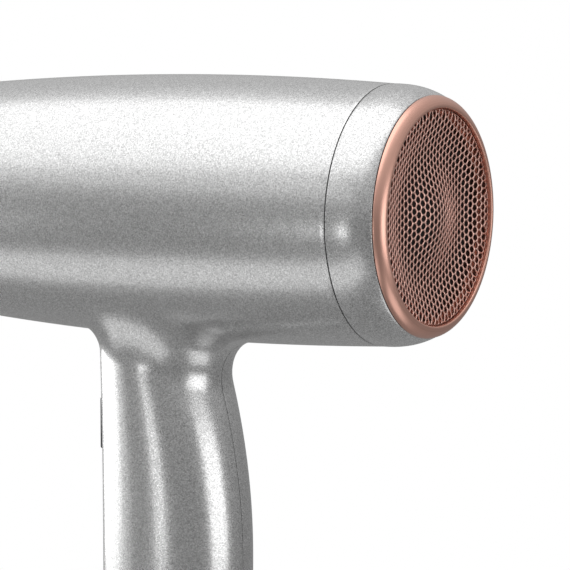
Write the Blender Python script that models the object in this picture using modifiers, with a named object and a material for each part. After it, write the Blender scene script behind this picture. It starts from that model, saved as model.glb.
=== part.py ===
# Hair dryer: a turned barrel in two moulded halves with a round handle, an axial fan and a wire heater
# inside, a pull-off rear cover with a copper trim ring and a wavy inlet mesh.
# X runs along the barrel from the hot air outlet (-X) to the air inlet (+X), Z is up, and the origin is
# in the middle of the grip, on the line that the handle hangs from.

import math

import bmesh
import bpy
from mathutils import Vector

# Clearances
GAP = 0.0003
SHAFT_CLEARANCE = 0.00006

# Barrel
AXIS_HEIGHT = 0.100
CROWN_RADIUS = 0.03807
CROWN_X = 0.021
CROWN_CURVE = 0.53
WALL = 0.0022
OUTLET_X = -0.105
HOUSING_FRONT_X = -0.100
SEAM_X = 0.0735
RIB = 0.0016

# Rear cover, trim ring and mesh
COVER_END_X = 0.0864
COVER_DROP = 0.0029
COVER_WALL = 0.0018
COVER_SKIRT = 0.0023
RING_RISE = 0.0028
RING_WIDTH = 0.0035
RING_EDGE = 0.0005
RING_POWER = 1.7
RING_LEDGE = 0.0012
MESH_THICKNESS = 0.0008
MESH_DOME = 0.0020
MESH_VALLEY = 0.0008
MESH_LIP = 0.0015
MESH_VALLEY_SHARE = 0.57
FILTER_THICKNESS = 0.0012

# Outlet
SLEEVE_DEPTH = 0.009
GRILLE_DEPTH = 0.002
GRILLE_BAR = 0.0011

# Heater
SHIELD_WALL = 0.0006
SHIELD_FRONT_X = -0.092
SHIELD_REAR_X = -0.028
BOARD_THICKNESS = 0.0008
BOARD_MARGIN = 0.004
COIL_WIRE = 0.00045
COIL_TURNS = 5

# Fan and motor
DUCT_FRONT_X = 0.008
DUCT_REAR_X = 0.0615
DUCT_WALL = 0.0016
TIP_CLEARANCE = 0.0008
MOTOR_RADIUS = 0.0138
MOTOR_FRONT_X = 0.008
MOTOR_LENGTH = 0.033
MOTOR_WALL = 0.0012
SHAFT_RADIUS = 0.0012
BUSH_RADIUS = 0.003
FAN_HUB_RADIUS = 0.0145
FAN_HUB_LENGTH = 0.0145
FAN_BLADES = 7
STATOR_VANES = 7

# Handle, measured down from the barrel's underside
HANDLE_LENGTH = 0.127
HANDLE_HALF_WIDTH = 0.0189
HANDLE_FRONT = 0.0190
HANDLE_REAR = 0.0253
SWELL_DROP = 0.063
UPPER_SWELL = 2.92
LOWER_SWELL = 0.9
SECTION_POWER = 2.2
CAP_HEIGHT = 0.004
CAP_COLLAR = 0.006
GLAND_BORE = 0.0036
GLAND_WALL = 0.0018

# Controls, measured down from the barrel's underside
BUTTON_DROP = 0.026
BUTTON_HEIGHT = 0.0151
BUTTON_WIDTH = 0.010
BUTTON_PROUD = 0.0012
BUTTON_TRAVEL = 0.0015
SPEED_DROP = 0.050
HEAT_DROP = 0.075
SLIDER_HEIGHT = 0.009
SLIDER_WIDTH = 0.0072
SLIDER_PROUD = 0.0009
SLIDER_TRAVEL = 0.006
FLANGE_CLEARANCE = 0.0016
FLANGE_SETBACK = WALL + FLANGE_CLEARANCE
FLANGE_THICKNESS = 0.0013
FLANGE_MARGIN = 0.0016
SWITCH_HALF_WIDTH = 0.006
SWITCH_DEPTH = 0.010
CIRCUIT_THICKNESS = 0.0016

# Fasteners
SCREW_SHANK = 0.0011
SCREW_HEAD = 0.0022
SCREW_HEAD_HEIGHT = 0.0013
BOSS_WALL = 0.0018

HOLE_RADIUS = SCREW_SHANK + GAP
BOSS_RADIUS = HOLE_RADIUS + BOSS_WALL
UNDERSIDE = AXIS_HEIGHT - CROWN_RADIUS
HANDLE_END = UNDERSIDE - HANDLE_LENGTH
SWELL_Z = UNDERSIDE - SWELL_DROP

# Colour, roughness and metallic value of each material
FINISHES = {
    "silver_paint": ((0.60, 0.60, 0.61), 0.28, 0.85),
    "copper_trim": ((0.58, 0.36, 0.30), 0.22, 1.0),
    "copper_mesh": ((0.46, 0.31, 0.28), 0.35, 0.9),
    "dark_plastic": ((0.05, 0.05, 0.055), 0.45, 0.0),
    "black_nylon": ((0.03, 0.03, 0.03), 0.55, 0.0),
    "filter_fabric": ((0.06, 0.055, 0.055), 0.9, 0.0),
    "mica": ((0.62, 0.55, 0.42), 0.6, 0.0),
    "heating_wire": ((0.42, 0.36, 0.30), 0.4, 1.0),
    "steel": ((0.55, 0.55, 0.56), 0.35, 1.0),
    "bronze": ((0.55, 0.38, 0.18), 0.4, 1.0),
    "ferrite": ((0.10, 0.10, 0.11), 0.7, 0.0),
    "circuit_board": ((0.05, 0.22, 0.10), 0.5, 0.0),
    "capacitor_case": ((0.65, 0.48, 0.08), 0.45, 0.0),
    "rubber": ((0.025, 0.025, 0.025), 0.75, 0.0),
}


def clear_scene():
    for obj in list(bpy.data.objects):
        bpy.data.objects.remove(obj, do_unlink=True)


def new_collection(name):
    collection = bpy.data.collections.new(name)
    bpy.context.scene.collection.children.link(collection)
    return collection


def finish(name):
    found = bpy.data.materials.get(name)
    if found:
        return found
    colour, roughness, metallic = FINISHES[name]
    made = bpy.data.materials.new(name)
    made.use_nodes = True
    shader = made.node_tree.nodes["Principled BSDF"]
    shader.inputs["Base Color"].default_value = (*colour, 1.0)
    shader.inputs["Roughness"].default_value = roughness
    shader.inputs["Metallic"].default_value = metallic
    made.diffuse_color = (*colour, 1.0)
    return made


def new_object(name, mesh, material=None):
    """A part when it has a material, and otherwise a hidden cutter."""
    obj = bpy.data.objects.new(name, mesh)
    if material:
        parts.objects.link(obj)
        mesh.materials.append(finish(material))
        return obj
    cutters.objects.link(obj)
    obj.hide_render = True
    obj.display_type = "WIRE"
    return obj


def mesh_from(name, bm):
    bmesh.ops.recalc_face_normals(bm, faces=bm.faces)
    mesh = bpy.data.meshes.new(name)
    bm.to_mesh(mesh)
    bm.free()
    mesh.shade_smooth()
    mesh.set_sharp_from_angle(angle=math.radians(35))
    return mesh


def aim(obj, place, direction):
    obj.location = place
    obj.rotation_euler = Vector(direction).to_track_quat("Z", "Y").to_euler()
    return obj


def turned(name, profile, material=None, place=(0, 0, AXIS_HEIGHT), direction=(1, 0, 0), segments=32):
    """Turns (along, radius) points, given down the outer side first, round the direction through place."""
    mesh = bpy.data.meshes.new(name)
    points = [(radius, 0, along) for along, radius in profile]
    edges = [(i, i + 1) for i in range(len(points) - 1)]
    if profile[0][1] > 0:
        edges.append((len(points) - 1, 0))
    mesh.from_pydata(points, edges, [])
    obj = new_object(name, mesh, material)
    screw = obj.modifiers.new("Turn", "SCREW")
    screw.axis = "Z"
    screw.steps = segments
    screw.render_steps = segments
    screw.use_merge_vertices = True
    screw.merge_threshold = 0.00001
    screw.use_smooth_shade = True
    return aim(obj, place, direction)


def box(name, low, high, material=None, rounding=0.0):
    bm = bmesh.new()
    bmesh.ops.create_cube(bm, size=1.0)
    low, high = Vector(low), Vector(high)
    for vert in bm.verts:
        vert.co = Vector([low[k] + (vert.co[k] + 0.5) * (high[k] - low[k]) for k in range(3)])
    obj = new_object(name, mesh_from(name, bm), material)
    if rounding:
        bevel = obj.modifiers.new("Round", "BEVEL")
        bevel.width = rounding
        bevel.segments = 2
    return obj


def cylinder(name, start, end, radius, material=None, sides=24):
    start, end = Vector(start), Vector(end)
    bm = bmesh.new()
    bmesh.ops.create_cone(
        bm, cap_ends=True, segments=sides, radius1=radius, radius2=radius, depth=(end - start).length
    )
    return aim(new_object(name, mesh_from(name, bm), material), (start + end) / 2, end - start)


def loft(name, rings, material=None):
    """A closed body through rings of equally many points, capped at both ends."""
    bm = bmesh.new()
    rows = [[bm.verts.new(point) for point in ring] for ring in rings]
    count = len(rows[0])
    for lower, upper in zip(rows, rows[1:]):
        for i in range(count):
            j = (i + 1) % count
            bm.faces.new((lower[i], lower[j], upper[j], upper[i]))
    bm.faces.new(rows[0])
    bm.faces.new(rows[-1])
    return new_object(name, mesh_from(name, bm), material)


def combine(obj, other, operation):
    modifier = obj.modifiers.new(other.name, "BOOLEAN")
    modifier.operation = operation
    modifier.solver = "EXACT"
    modifier.use_self = True
    modifier.object = other
    return obj


def cut(obj, *others):
    for other in others:
        combine(obj, other, "DIFFERENCE")
    return obj


def join(obj, *others):
    for other in others:
        combine(obj, other, "UNION")
    return obj


def screw(name, place, direction, shank_length, material="steel"):
    """A screw whose head stands on place and whose shank runs against the direction."""
    profile = [
        (SCREW_HEAD_HEIGHT, 0),
        (SCREW_HEAD_HEIGHT, SCREW_HEAD * 0.6),
        (SCREW_HEAD_HEIGHT * 0.5, SCREW_HEAD),
        (0, SCREW_HEAD),
        (0, SCREW_SHANK),
        (-shank_length, SCREW_SHANK),
        (-shank_length, 0),
    ]
    return turned(name, profile, material, place, direction, 10)


def barrel_radius(x):
    return CROWN_RADIUS - CROWN_CURVE * (x - CROWN_X) ** 2


def bore_radius(x):
    return barrel_radius(x) - WALL


def around(radius, angle, x=0.0):
    """A point beside the barrel's axis, at an angle from straight up towards +Y."""
    return Vector((x, radius * math.sin(angle), AXIS_HEIGHT + radius * math.cos(angle)))


def spread(first, last, count):
    return [first + (last - first) * i / (count - 1) for i in range(count)]


def handle_rear(z):
    swell = UPPER_SWELL if z > SWELL_Z else LOWER_SWELL
    return HANDLE_REAR - swell * (z - SWELL_Z) ** 2


def handle_ring(z, inset=0.0, count=24):
    """The handle's section at a height, drawn in by inset all round."""
    rear = handle_rear(z)
    centre = (rear - HANDLE_FRONT) / 2
    depth = (rear + HANDLE_FRONT) / 2 - inset
    width = HANDLE_HALF_WIDTH - inset
    points = []
    for i in range(count):
        angle = 2 * math.pi * (i + 0.5) / count
        across = math.copysign(abs(math.cos(angle)) ** (2 / SECTION_POWER), math.cos(angle))
        aside = math.copysign(abs(math.sin(angle)) ** (2 / SECTION_POWER), math.sin(angle))
        points.append((centre + depth * across, width * aside, z))
    return points


# Housing: the fan duct and the heat shield seat in ribs inside it, so their sizes come first
SHROUD_RADIUS = min(bore_radius(DUCT_FRONT_X), bore_radius(DUCT_REAR_X)) - RIB
SLEEVE_RADIUS = bore_radius(HOUSING_FRONT_X) - GAP
MOUTH_RADIUS = SLEEVE_RADIUS - WALL
SHIELD_RADIUS = MOUTH_RADIUS - 2 * GAP
GUARD_X = DUCT_REAR_X + 0.0045
GUARD_DEPTH = 0.003
SCREW_CIRCLE = bore_radius(GUARD_X) - 0.003
SCREW_ANGLES = [math.radians(angle) for angle in (50, 130, -130, -50)]
BASE_SCREW_Y = HANDLE_HALF_WIDTH - WALL - BOSS_RADIUS + 0.0006
BASE_X = (handle_rear(HANDLE_END) - HANDLE_FRONT) / 2
CIRCUIT_Y = -SWITCH_HALF_WIDTH - GAP
CIRCUIT_SCREWS = [(0.007, UNDERSIDE - 0.028), (0.007, UNDERSIDE - 0.080)]
CLAMP_DROP = 0.109
CLAMP_SPACING = 0.018


def bore_with_ribs():
    """The barrel's inner profile, rear to front, with a rib at each end of the duct and of the shield."""
    ribs = [
        (DUCT_REAR_X - 0.002, SHROUD_RADIUS + GAP),
        (DUCT_FRONT_X + 0.002, SHROUD_RADIUS + GAP),
        (SHIELD_REAR_X - 0.004, SHIELD_RADIUS + GAP),
        (SHIELD_FRONT_X + 0.004, SHIELD_RADIUS + GAP),
    ]
    profile = [(SEAM_X + 0.01, 0), (SEAM_X + 0.01, bore_radius(SEAM_X))]
    for x, radius in ribs:
        profile.append((x + RIB / 2, bore_radius(x)))
        profile.append((x + RIB / 2, radius))
        profile.append((x - RIB / 2, radius))
        profile.append((x - RIB / 2, bore_radius(x)))
    profile.append((HOUSING_FRONT_X - 0.01, bore_radius(HOUSING_FRONT_X)))
    profile.append((HOUSING_FRONT_X - 0.01, 0))
    return profile


def build_housing():
    outer = [(x, barrel_radius(x)) for x in spread(SEAM_X - GAP / 2, HOUSING_FRONT_X, 9)]
    ends = [(outer[0][0], 0)], [(outer[-1][0], 0)]
    bore = turned("barrel_bore", bore_with_ribs())
    top = AXIS_HEIGHT - 0.6 * CROWN_RADIUS
    foot = HANDLE_END + CAP_HEIGHT + GAP
    hollow_top = AXIS_HEIGHT - 0.5 * SHROUD_RADIUS
    grip = loft("grip_outer", [handle_ring(z) for z in spread(foot, top, 7)])
    hollow_heights = [foot - 0.01] + spread(foot, hollow_top, 7)
    hollow = loft("grip_hollow", [handle_ring(z, WALL) for z in hollow_heights])
    guard_bosses = []
    guard_holes = []
    for i, angle in enumerate(SCREW_ANGLES):
        ends_x = DUCT_REAR_X + 0.0008, GUARD_X - GAP
        span = [around(SCREW_CIRCLE, angle, x) for x in ends_x]
        guard_bosses.append(cylinder(f"guard_boss_{i + 1}", *span, BOSS_RADIUS, sides=12))
        deep = [around(SCREW_CIRCLE, angle, x) for x in (ends_x[0] - 0.002, ends_x[1] + 0.002)]
        guard_holes.append(cylinder(f"guard_hole_{i + 1}", *deep, HOLE_RADIUS, sides=12))
    openings = control_openings()
    for side, sign in (("left", -1), ("right", 1)):
        name = f"{side}_housing_half"
        half = turned(name, ends[0] + outer + ends[1], "silver_paint")
        join(half, grip)
        cut(half, bore, hollow)
        keep = box(
            f"{side}_side",
            (OUTLET_X - 0.1, min(sign * GAP / 2, sign * 0.2), HANDLE_END - 0.1),
            (SEAM_X + 0.1, max(sign * GAP / 2, sign * 0.2), AXIS_HEIGHT + 0.1),
        )
        combine(half, keep, "INTERSECT")
        mine = [i for i, angle in enumerate(SCREW_ANGLES) if math.sin(angle) * sign > 0]
        join(half, *[guard_bosses[i] for i in mine])
        cut(half, *[guard_holes[i] for i in mine])
        base = Vector((BASE_X, sign * BASE_SCREW_Y, foot))
        up = Vector((0, 0, 0.001))
        join(half, cylinder(f"{side}_base_boss", base, base + 11 * up, BOSS_RADIUS, sides=12))
        cut(half, cylinder(f"{side}_base_hole", base - 2 * up, base + 13 * up, HOLE_RADIUS, sides=12))
        if side == "left":
            add_posts(half)
        cut(half, *openings)


def add_posts(half):
    """Posts on the left half's wall: two for the circuit board and two for the cord clamp."""
    wall_y = -HANDLE_HALF_WIDTH + WALL / 2
    clamp_z = UNDERSIDE - CLAMP_DROP
    posts = [(x, z, CIRCUIT_Y - CIRCUIT_THICKNESS - GAP) for x, z in CIRCUIT_SCREWS]
    for sign in (-1, 1):
        posts.append((BASE_X + sign * CLAMP_SPACING / 2, clamp_z, -GAP))
    for i, (x, z, top_y) in enumerate(posts):
        # A post towards the handle's front or rear starts where the wall curves in at the post's far edge
        depth = (handle_rear(z) + HANDLE_FRONT) / 2
        centre = (handle_rear(z) - HANDLE_FRONT) / 2
        aside = (abs(x - centre) + BOSS_RADIUS) / depth
        share = (1 - aside ** SECTION_POWER) ** (1 / SECTION_POWER)
        start = (x, wall_y * share, z)
        join(half, cylinder(f"post_{i + 1}", start, (x, top_y, z), BOSS_RADIUS, sides=12))
        ends = (x, top_y - 0.006, z), (x, top_y + 0.002, z)
        cut(half, cylinder(f"post_hole_{i + 1}", *ends, HOLE_RADIUS, sides=12))


def control_openings():
    """The openings in the handle's front wall for the button and the two sliders."""
    made = []
    sizes = [
        ("button", BUTTON_DROP, BUTTON_WIDTH, BUTTON_HEIGHT),
        ("speed", SPEED_DROP, SLIDER_WIDTH, SLIDER_HEIGHT + SLIDER_TRAVEL),
        ("heat", HEAT_DROP, SLIDER_WIDTH, SLIDER_HEIGHT + SLIDER_TRAVEL),
    ]
    for name, drop, width, height in sizes:
        half_width = width / 2 + GAP
        half_height = height / 2 + GAP
        middle = UNDERSIDE - drop
        made.append(
            box(
                f"{name}_opening",
                (-HANDLE_FRONT - 0.006, -half_width, middle - half_height),
                (-HANDLE_FRONT + FLANGE_SETBACK, half_width, middle + half_height),
            )
        )
    return made


def build_rear_cover():
    start = SEAM_X + GAP / 2
    rim = barrel_radius(SEAM_X) - COVER_DROP

    def outer(x):
        share = (x - start) / (COVER_END_X - start)
        return barrel_radius(SEAM_X) - COVER_DROP * share ** 2.6

    lip_bore = rim - COVER_WALL + GAP
    profile = [(COVER_END_X, lip_bore), (COVER_END_X, rim)]
    profile += [(x, outer(x)) for x in spread(COVER_END_X, start, 7)[1:]]
    profile += [
        (start, bore_radius(SEAM_X) - GAP),
        (start - COVER_SKIRT, bore_radius(SEAM_X) - GAP),
        (start - COVER_SKIRT, bore_radius(SEAM_X) - GAP - COVER_WALL),
        (start + 0.004, bore_radius(SEAM_X) - GAP - COVER_WALL),
        (COVER_END_X - 0.003, lip_bore),
    ]
    turned("rear_cover", profile, "silver_paint", segments=40)
    build_trim_ring(rim, lip_bore)


def build_trim_ring(rim, lip_bore):
    """The copper ring: a convex face outside, a sleeve in the cover, and a ledge that the mesh rests on."""
    back = COVER_END_X + GAP
    outside = rim - 0.0001
    inside = outside - RING_WIDTH
    crest = inside + RING_EDGE
    face = [(back + RING_RISE - RING_EDGE, inside)]
    for i in range(6):
        angle = math.pi / 2 * (1 - i / 5)
        rise = max(math.sin(angle), 0) ** (2 / RING_POWER)
        across = max(math.cos(angle), 0) ** (2 / RING_POWER)
        face.append((back + RING_RISE * rise, crest + (outside - crest) * across))
    ledge_x = back - 0.0011
    sleeve_end = back - 0.0047
    profile = face + [
        (back, lip_bore - GAP),
        (sleeve_end, lip_bore - GAP),
        (sleeve_end, inside - RING_LEDGE),
        (ledge_x, inside - RING_LEDGE),
        (ledge_x, inside),
    ]
    turned("copper_trim_ring", profile, "copper_trim", segments=40)
    build_mesh_and_filter(inside, ledge_x, sleeve_end)


def build_mesh_and_filter(inside, ledge_x, sleeve_end):
    radius = inside - GAP
    valley = radius * MESH_VALLEY_SHARE
    low = ledge_x + MESH_VALLEY

    def rise(r):
        if r < valley:
            return MESH_DOME * (1 + math.cos(math.pi * r / valley)) / 2
        return MESH_LIP * (1 - math.cos(math.pi * (r - valley) / (radius - valley))) / 2

    outward = spread(0, radius, 8)
    top = [(low + rise(r), r) for r in outward]
    bottom = [(low + rise(r) - MESH_THICKNESS, r) for r in reversed(outward)]
    turned("inlet_mesh", top + bottom, "copper_mesh")
    filter_radius = inside - RING_LEDGE - GAP
    filter_x = sleeve_end + 0.0002
    disc = [
        (filter_x + FILTER_THICKNESS, 0),
        (filter_x + FILTER_THICKNESS, filter_radius),
        (filter_x, filter_radius),
        (filter_x, 0),
    ]
    turned("lint_filter", disc, "filter_fabric")


def grille(name, x, outer_radius, rim_width, ring_radii, spokes, hub_radius, material):
    """A round grille: a rim, rings between it and the hub, and straight spokes through them all."""
    front = x - GRILLE_DEPTH
    inner_radius = outer_radius - rim_width
    rim = [(x, outer_radius), (front, outer_radius), (front, inner_radius), (x, inner_radius)]
    obj = turned(name, rim, material)
    half = GRILLE_BAR / 2
    thin = GRILLE_DEPTH / 2 - 0.0002
    low, high = (-thin, -half, hub_radius * 0.7), (thin, half, outer_radius - half)
    for i in range(spokes):
        bar = box(f"{name}_spoke_{i + 1}", low, high)
        bar.location = (x - GRILLE_DEPTH / 2, 0, AXIS_HEIGHT)
        bar.rotation_euler = (2 * math.pi * (i + 0.5) / spokes, 0, 0)
        join(obj, bar)
    for i, radius in enumerate(ring_radii):
        inset = 0.0004
        ring = [
            (x - inset, radius + half),
            (front + inset, radius + half),
            (front + inset, radius - half),
            (x - inset, radius - half),
        ]
        join(obj, turned(f"{name}_ring_{i + 1}", ring, segments=24))
    hub = [(x, 0), (x, hub_radius), (front, hub_radius), (front, 0)]
    join(obj, turned(f"{name}_hub", hub, segments=16))
    return obj


def build_outlet():
    lip = HOUSING_FRONT_X - GAP
    profile = [
        (lip, SLEEVE_RADIUS),
        (lip, barrel_radius(lip)),
        (OUTLET_X + 0.0010, barrel_radius(OUTLET_X + 0.0010)),
        (OUTLET_X + 0.0003, barrel_radius(OUTLET_X) - 0.0004),
        (OUTLET_X, barrel_radius(OUTLET_X) - 0.0012),
        (OUTLET_X, MOUTH_RADIUS),
        (lip + SLEEVE_DEPTH, MOUTH_RADIUS),
        (lip + SLEEVE_DEPTH, SLEEVE_RADIUS),
    ]
    turned("outlet_ring", profile, "dark_plastic")
    radius = MOUTH_RADIUS - GAP
    rings = [radius * share for share in (0.46, 0.72)]
    x = HOUSING_FRONT_X + 0.003
    grille("outlet_grille", x, radius, 0.0014, rings, 6, radius * 0.2, "dark_plastic")


def build_heater():
    inside = SHIELD_RADIUS - SHIELD_WALL
    tube = [
        (SHIELD_REAR_X, SHIELD_RADIUS),
        (SHIELD_FRONT_X, SHIELD_RADIUS),
        (SHIELD_FRONT_X, inside),
        (SHIELD_REAR_X, inside),
    ]
    turned("heat_shield", tube, "mica")
    front = SHIELD_FRONT_X + BOARD_MARGIN
    rear = SHIELD_REAR_X - BOARD_MARGIN
    middle = (front + rear) / 2
    reach = inside - 4 * COIL_WIRE - 3 * GAP
    thin = BOARD_THICKNESS / 2
    slot = thin + GAP
    axis = AXIS_HEIGHT
    upright = box("heater_board_upright", (front, -thin, axis - reach), (rear, thin, axis + reach), "mica")
    cut(upright, box("upright_slot", (middle - GAP, -0.01, axis - slot), (rear + 0.01, 0.01, axis + slot)))
    level = box("heater_board_level", (front, -reach, axis - thin), (rear, reach, axis + thin), "mica")
    cut(level, box("level_slot", (front - 0.01, -slot, axis - 0.01), (middle + GAP, slot, axis + 0.01)))
    coil_radius = reach + GAP + COIL_WIRE
    length = (rear - front) / 2 - 0.006
    heating_coil("front_heating_coil", front + 0.003, length, coil_radius)
    heating_coil("rear_heating_coil", middle + 0.003, length, coil_radius)
    above = AXIS_HEIGHT + thin + GAP
    low, high = (middle + 0.004, 0.004, above), (middle + 0.014, 0.011, above + 0.0032)
    box("thermal_cutout", low, high, "steel", 0.0004)
    start = Vector((middle + 0.003, -0.008, above + 0.002))
    cylinder("thermal_fuse", start, start + Vector((0.010, 0, 0)), 0.0019, "capacitor_case", 16)


def heating_coil(name, start_x, length, radius):
    per_turn = 12
    count = COIL_TURNS * per_turn + 1
    curve = bpy.data.curves.new(name, "CURVE")
    curve.dimensions = "3D"
    curve.bevel_depth = COIL_WIRE
    curve.bevel_resolution = 0
    curve.use_fill_caps = True
    spline = curve.splines.new("POLY")
    spline.points.add(count - 1)
    for i, point in enumerate(spline.points):
        place = around(radius, 2 * math.pi * i / per_turn, start_x + length * i / (count - 1))
        point.co = (*place, 1.0)
    obj = bpy.data.objects.new(name, curve)
    curve.materials.append(finish("heating_wire"))
    parts.objects.link(obj)


def blades(name, count, root, tip, x, chord, thickness, root_pitch, tip_pitch):
    """Separate twisted blades round the barrel's axis, each through three sections from root to tip."""
    bm = bmesh.new()
    for i in range(count):
        angle = 2 * math.pi * i / count
        outward = Vector((0, math.sin(angle), math.cos(angle)))
        sideways = Vector((0, math.cos(angle), -math.sin(angle)))
        rows = []
        for share in (0, 0.5, 1):
            pitch = math.radians(root_pitch + (tip_pitch - root_pitch) * share)
            radius = root + (tip - root) * share
            along = Vector((math.cos(pitch), 0, 0)) + sideways * math.sin(pitch)
            across = Vector((-math.sin(pitch), 0, 0)) + sideways * math.cos(pitch)
            flat = math.sqrt(radius ** 2 - (chord / 2 * math.sin(pitch)) ** 2)
            centre = Vector((x, 0, AXIS_HEIGHT)) + outward * flat
            corners = ((-1, -1), (1, -1), (1, 1), (-1, 1))
            spots = [centre + along * a * chord / 2 + across * b * thickness / 2 for a, b in corners]
            rows.append([bm.verts.new(spot) for spot in spots])
        for lower, upper in zip(rows, rows[1:]):
            for k in range(4):
                bm.faces.new((lower[k], lower[(k + 1) % 4], upper[(k + 1) % 4], upper[k]))
        bm.faces.new(rows[0])
        bm.faces.new(rows[-1])
    return new_object(name, mesh_from(name, bm))


def build_fan():
    motor_rear = MOTOR_FRONT_X + MOTOR_LENGTH
    shroud_bore = SHROUD_RADIUS - DUCT_WALL
    cup_bore = MOTOR_RADIUS + GAP
    cup = cup_bore + DUCT_WALL
    cup_wall_x = motor_rear + GAP
    shroud = [
        (DUCT_REAR_X, SHROUD_RADIUS),
        (DUCT_FRONT_X, SHROUD_RADIUS),
        (DUCT_FRONT_X, shroud_bore),
        (DUCT_REAR_X, shroud_bore),
    ]
    duct = turned("fan_duct", shroud, "black_nylon")
    boss_hole = BUSH_RADIUS + 3 * GAP + MOTOR_WALL
    cup_profile = [
        (cup_wall_x + DUCT_WALL, boss_hole),
        (cup_wall_x + DUCT_WALL, cup),
        (MOTOR_FRONT_X - 0.003, cup),
        (MOTOR_FRONT_X - 0.003, cup_bore),
        (cup_wall_x, cup_bore),
        (cup_wall_x, boss_hole),
    ]
    join(duct, turned("motor_cup", cup_profile))
    vane_x = MOTOR_FRONT_X + 0.016
    ends = cup - 0.0006, shroud_bore + 0.0008
    join(duct, blades("stator_vanes", STATOR_VANES, *ends, vane_x, 0.026, 0.0014, 12, 16))

    fan_front = cup_wall_x + DUCT_WALL + 0.0025
    fan_rear = fan_front + FAN_HUB_LENGTH
    bore = SHAFT_RADIUS + GAP
    hub_profile = [
        (fan_rear, bore),
        (fan_rear, FAN_HUB_RADIUS * 0.45),
        (fan_rear - 0.0012, FAN_HUB_RADIUS * 0.78),
        (fan_rear - 0.0040, FAN_HUB_RADIUS * 0.96),
        (fan_rear - 0.0065, FAN_HUB_RADIUS),
        (fan_front, FAN_HUB_RADIUS),
        (fan_front, FAN_HUB_RADIUS - 0.002),
        (fan_rear - 0.0075, FAN_HUB_RADIUS - 0.002),
        (fan_rear - 0.0075, bore + 0.002),
        (fan_front, bore + 0.002),
        (fan_front, bore),
    ]
    fan = turned("fan_rotor", hub_profile, "black_nylon")
    blade_x = (fan_front + fan_rear) / 2 - 0.0005
    ends = FAN_HUB_RADIUS - 0.0008, shroud_bore - TIP_CLEARANCE
    join(fan, blades("fan_blades", FAN_BLADES, *ends, blade_x, 0.012, 0.0012, 38, 58))
    build_motor(motor_rear, fan_rear)
    build_guard()


def build_motor(motor_rear, fan_rear):
    bush_seat = BUSH_RADIUS + GAP
    boss = bush_seat + MOTOR_WALL
    inside = MOTOR_RADIUS - MOTOR_WALL
    front = MOTOR_FRONT_X
    can = [
        (motor_rear + 0.0025, bush_seat),
        (motor_rear + 0.0025, boss),
        (motor_rear, boss),
        (motor_rear, MOTOR_RADIUS),
        (front, MOTOR_RADIUS),
        (front, inside),
        (motor_rear - MOTOR_WALL, inside),
        (motor_rear - MOTOR_WALL, bush_seat),
    ]
    turned("motor_can", can, "steel")
    end_cap = [
        (front + 0.002, bush_seat),
        (front + 0.002, inside - GAP),
        (front - GAP, inside - GAP),
        (front - GAP, MOTOR_RADIUS),
        (front - 0.002, MOTOR_RADIUS),
        (front - 0.002, bush_seat),
    ]
    turned("motor_end_cap", end_cap, "black_nylon")
    for name, start, end in (
        ("motor_front_bush", front - 0.0018, front + 0.0018),
        ("motor_rear_bush", motor_rear - MOTOR_WALL, motor_rear + 0.0023),
    ):
        hole = SHAFT_RADIUS + SHAFT_CLEARANCE
        ring = [(end, BUSH_RADIUS), (start, BUSH_RADIUS), (start, hole), (end, hole)]
        turned(name, ring, "bronze", segments=24)
    tips = fan_rear + 0.001, front - 0.004
    shaft = [(tips[0], 0), (tips[0], SHAFT_RADIUS), (tips[1], SHAFT_RADIUS), (tips[1], 0)]
    turned("motor_shaft", shaft, "steel", segments=24)
    bore = SHAFT_RADIUS + GAP
    magnet_wall = 0.0012
    magnet_bore = inside - GAP - magnet_wall
    core = magnet_bore - 0.0004
    armature = [
        (motor_rear - 0.005, bore),
        (motor_rear - 0.005, core * 0.75),
        (motor_rear - 0.008, core * 0.85),
        (motor_rear - 0.008, core),
        (front + 0.009, core),
        (front + 0.009, core * 0.85),
        (front + 0.007, core * 0.75),
        (front + 0.007, bore + 0.002),
        (front + 0.003, bore + 0.002),
        (front + 0.003, bore),
    ]
    turned("motor_armature", armature, "bronze", segments=32)
    ends = front + 0.006, motor_rear - 0.006
    for i, start_angle in enumerate((-70, 110)):
        magnet(f"motor_magnet_{i + 1}", magnet_bore, magnet_wall, *ends, start_angle)


def magnet(name, bore, wall, front, rear, start_angle):
    """An arc of ferrite, spun from one end section round the barrel's axis."""
    bm = bmesh.new()
    start = math.radians(start_angle)
    section = ((bore, front), (bore + wall, front), (bore + wall, rear), (bore, rear))
    face = bm.faces.new([bm.verts.new(around(radius, start, x)) for radius, x in section])
    bmesh.ops.spin(
        bm,
        geom=[face, *face.edges, *face.verts],
        cent=(0, 0, AXIS_HEIGHT),
        axis=(-1, 0, 0),
        angle=math.radians(140),
        steps=14,
    )
    new_object(name, mesh_from(name, bm), "ferrite")


def build_guard():
    """The inner guard, screwed to both halves, keeps fingers off the fan when the cover is away."""
    outer = bore_radius(GUARD_X + GUARD_DEPTH) - GAP
    rim_width = outer - SCREW_CIRCLE + SCREW_HEAD + 0.0006
    inner = outer - rim_width
    rings = [inner * 0.6]
    x = GUARD_X + GRILLE_DEPTH
    guard = grille("inner_guard", x, outer, rim_width, rings, 6, inner * 0.22, "dark_plastic")
    for i, angle in enumerate(SCREW_ANGLES):
        hole = [around(SCREW_CIRCLE, angle, hole_x) for hole_x in (GUARD_X - 0.002, x + 0.002)]
        cut(guard, cylinder(f"guard_drill_{i + 1}", *hole, HOLE_RADIUS, sides=12))
        seat = around(SCREW_CIRCLE, angle, x + GAP)
        screw(f"guard_screw_{i + 1}", seat, (1, 0, 0), 0.0052)


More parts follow.
